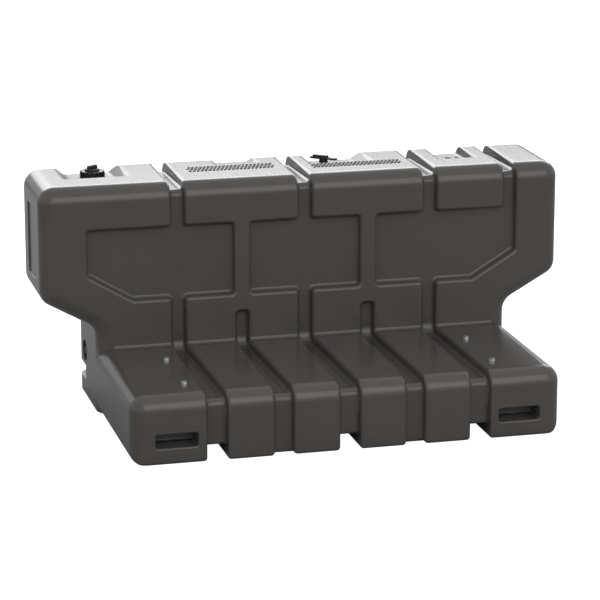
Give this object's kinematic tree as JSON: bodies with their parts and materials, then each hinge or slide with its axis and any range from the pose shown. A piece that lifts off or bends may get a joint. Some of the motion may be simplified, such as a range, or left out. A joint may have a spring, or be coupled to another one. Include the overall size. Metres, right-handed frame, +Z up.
{
  "type": "water filled barrier",
  "caption": "Water ballasted barrier section: overhanging hollow wall on a grooved low foot, with screw filler cap, vent plug, drain plug, hand holds and floor tunnels.",
  "frame": {"origin": "middle of the footprint's bounding box, on the ground", "axes": "+X along the barrier towards the end without the filler cap, +Y towards the rear face of the wall, +Z up"},
  "size_m": [2, 1.06, 0.889],
  "materials": {
    "charcoal_polyethylene": "satin rotomoulded polyethylene",
    "black_fitting": "injection moulded black, satin",
    "black_rubber": "matt",
    "brass_insert": "turned",
    "bright_steel": "bright zinc"
  },
  "bodies": {
    "tank": {"tank_shell": "charcoal_polyethylene", "fill_spout": "black_fitting", "fill_gasket": "black_rubber", "fill_lock_nut": "black_fitting", "vent_bush": "black_fitting", "vent_gasket": "black_rubber", "vent_lock_nut": "black_fitting", "drain_insert": "brass_insert", "base_bolts_left": "bright_steel", "base_bolts_right": "bright_steel", "base_washers_left": "bright_steel", "base_washers_right": "bright_steel", "base_inserts_left": "brass_insert", "base_inserts_right": "brass_insert"},
    "fill_cap_seal_carrier": {"fill_cap_seal": "black_rubber"},
    "fill_cap": {"fill_cap": "black_fitting"},
    "vent_plug_seal_carrier": {"vent_plug_ring": "black_rubber"},
    "vent_plug": {"vent_plug": "black_fitting"},
    "drain_plug_seal_carrier": {"drain_seal": "black_rubber"},
    "drain_plug": {"drain_plug": "black_fitting"}
  },
  "joints": [
    {"name": "fill_cap_lift", "type": "slide", "parent": "tank", "child": "fill_cap_seal_carrier", "axis": [0, 0, 1], "range_m": [0, 0.0212]},
    {"name": "fill_cap_turn", "type": "hinge", "parent": "fill_cap_seal_carrier", "child": "fill_cap", "pos_m": [-0.752, 0.4, 0.831], "axis": [0, 0, 1], "range_deg": [0, 1260]},
    {"name": "vent_plug_lift", "type": "slide", "parent": "tank", "child": "vent_plug_seal_carrier", "axis": [0, 0, 1], "range_m": [0, 0.0182]},
    {"name": "vent_plug_turn", "type": "hinge", "parent": "vent_plug_seal_carrier", "child": "vent_plug", "pos_m": [0.158, 0.45, 0.831], "axis": [0, 0, 1], "range_deg": [0, 1620]},
    {"name": "drain_plug_lift", "type": "slide", "parent": "tank", "child": "drain_plug_seal_carrier", "axis": [-1, 0, 0], "range_m": [0, 0.0242]},
    {"name": "drain_plug_turn", "type": "hinge", "parent": "drain_plug_seal_carrier", "child": "drain_plug", "pos_m": [-0.777, 0.395, 0.172], "axis": [-1, 0, 0], "range_deg": [0, 2160]}
  ],
  "couplings": [
    {"joint": "fill_cap_lift", "follows": "fill_cap_turn", "m_per_rad": 0.00095493},
    {"joint": "vent_plug_lift", "follows": "vent_plug_turn", "m_per_rad": 0.00063662},
    {"joint": "drain_plug_lift", "follows": "drain_plug_turn", "m_per_rad": 0.00063662}
  ]
}
